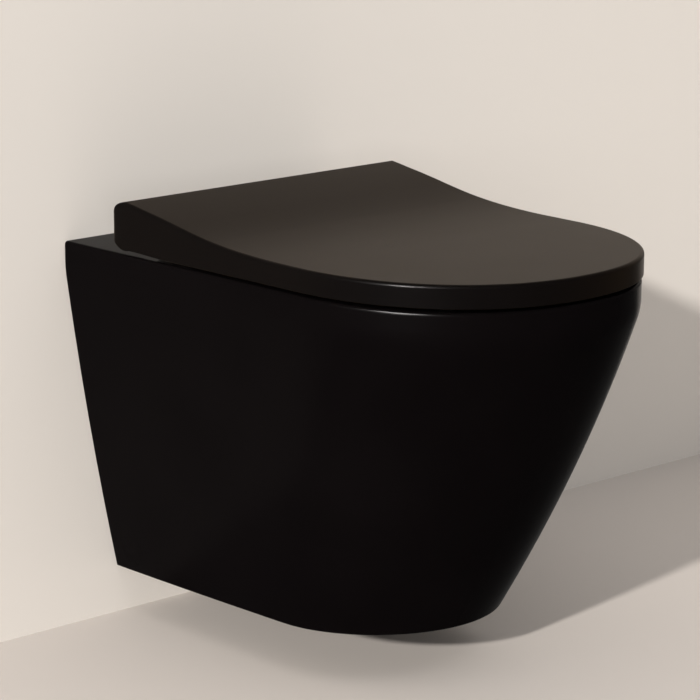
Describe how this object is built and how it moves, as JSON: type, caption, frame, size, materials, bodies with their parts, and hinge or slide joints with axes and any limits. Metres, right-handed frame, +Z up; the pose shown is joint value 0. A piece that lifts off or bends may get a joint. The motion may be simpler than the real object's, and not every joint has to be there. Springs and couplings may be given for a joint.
{
  "type": "wall hung toilet",
  "caption": "Wall hung toilet pan in matt black ceramic with a tapered body, a D shaped seat and a wrap-over soft-close lid on lift-off hinges.",
  "frame": {"origin": "on the wall plane, midway between the two fixing studs", "axes": "+Z up, +Y into the wall, +X to the right of somebody who faces the wall; the pan projects to -Y"},
  "size_m": [0.3656, 0.5466, 0.4043],
  "materials": {
    "ceramic": "satin matt black glaze",
    "lid_resin": "satin black moulded resin",
    "seat_resin": "satin black moulded resin",
    "hinge_metal": "satin black",
    "steel": "turned stainless steel",
    "brass": "turned",
    "rubber": "matt",
    "rubber_grey": "matt",
    "pe_plastic": "natural moulded",
    "damper_plastic": "moulded",
    "button_plastic": "moulded"
  },
  "bodies": {
    "pan": {"ceramic_pan": "ceramic", "stud_sleeves": "pe_plastic", "stud_washers": "steel", "stud_nuts": "steel", "inlet_seal": "rubber", "hinge_gaskets": "rubber", "hinge_post_left": "steel", "hinge_post_right": "steel", "rosette_left": "hinge_metal", "rosette_right": "hinge_metal", "expansion_plugs": "rubber", "plug_nuts": "brass"},
    "hinge_carriage": {"hinge_block_left": "hinge_metal", "hinge_block_right": "hinge_metal", "damper_left": "damper_plastic", "damper_right": "damper_plastic", "release_springs_left": "steel", "release_springs_right": "steel"},
    "seat": {"seat_ring": "seat_resin", "seat_buffers": "rubber_grey", "seat_bush": "pe_plastic", "hinge_pin_right": "steel"},
    "lid": {"seat_lid": "lid_resin", "lid_buffers": "rubber_grey", "lid_bush": "pe_plastic", "hinge_pin_left": "steel"},
    "button_left": {"release_button_left": "button_plastic", "latch_plate_left": "steel"},
    "button_right": {"release_button_right": "button_plastic", "latch_plate_right": "steel"}
  },
  "joints": [
    {"name": "seat_lift_off", "type": "slide", "parent": "pan", "child": "hinge_carriage", "axis": [0, 0, 1], "range_m": [0, 0.03]},
    {"name": "seat_hinge", "type": "hinge", "parent": "hinge_carriage", "child": "seat", "pos_m": [0, -0.098, 0.107], "axis": [1, 0, 0], "range_deg": [-96, 0]},
    {"name": "lid_hinge", "type": "hinge", "parent": "seat", "child": "lid", "pos_m": [0, -0.098, 0.107], "axis": [-1, 0, 0], "range_deg": [0, 100]},
    {"name": "release_left", "type": "slide", "parent": "hinge_carriage", "child": "button_left", "axis": [0, -1, 0], "range_m": [0, 0.002], "stiffness_N_per_m": 600},
    {"name": "release_right", "type": "slide", "parent": "hinge_carriage", "child": "button_right", "axis": [0, -1, 0], "range_m": [0, 0.002], "stiffness_N_per_m": 600}
  ]
}
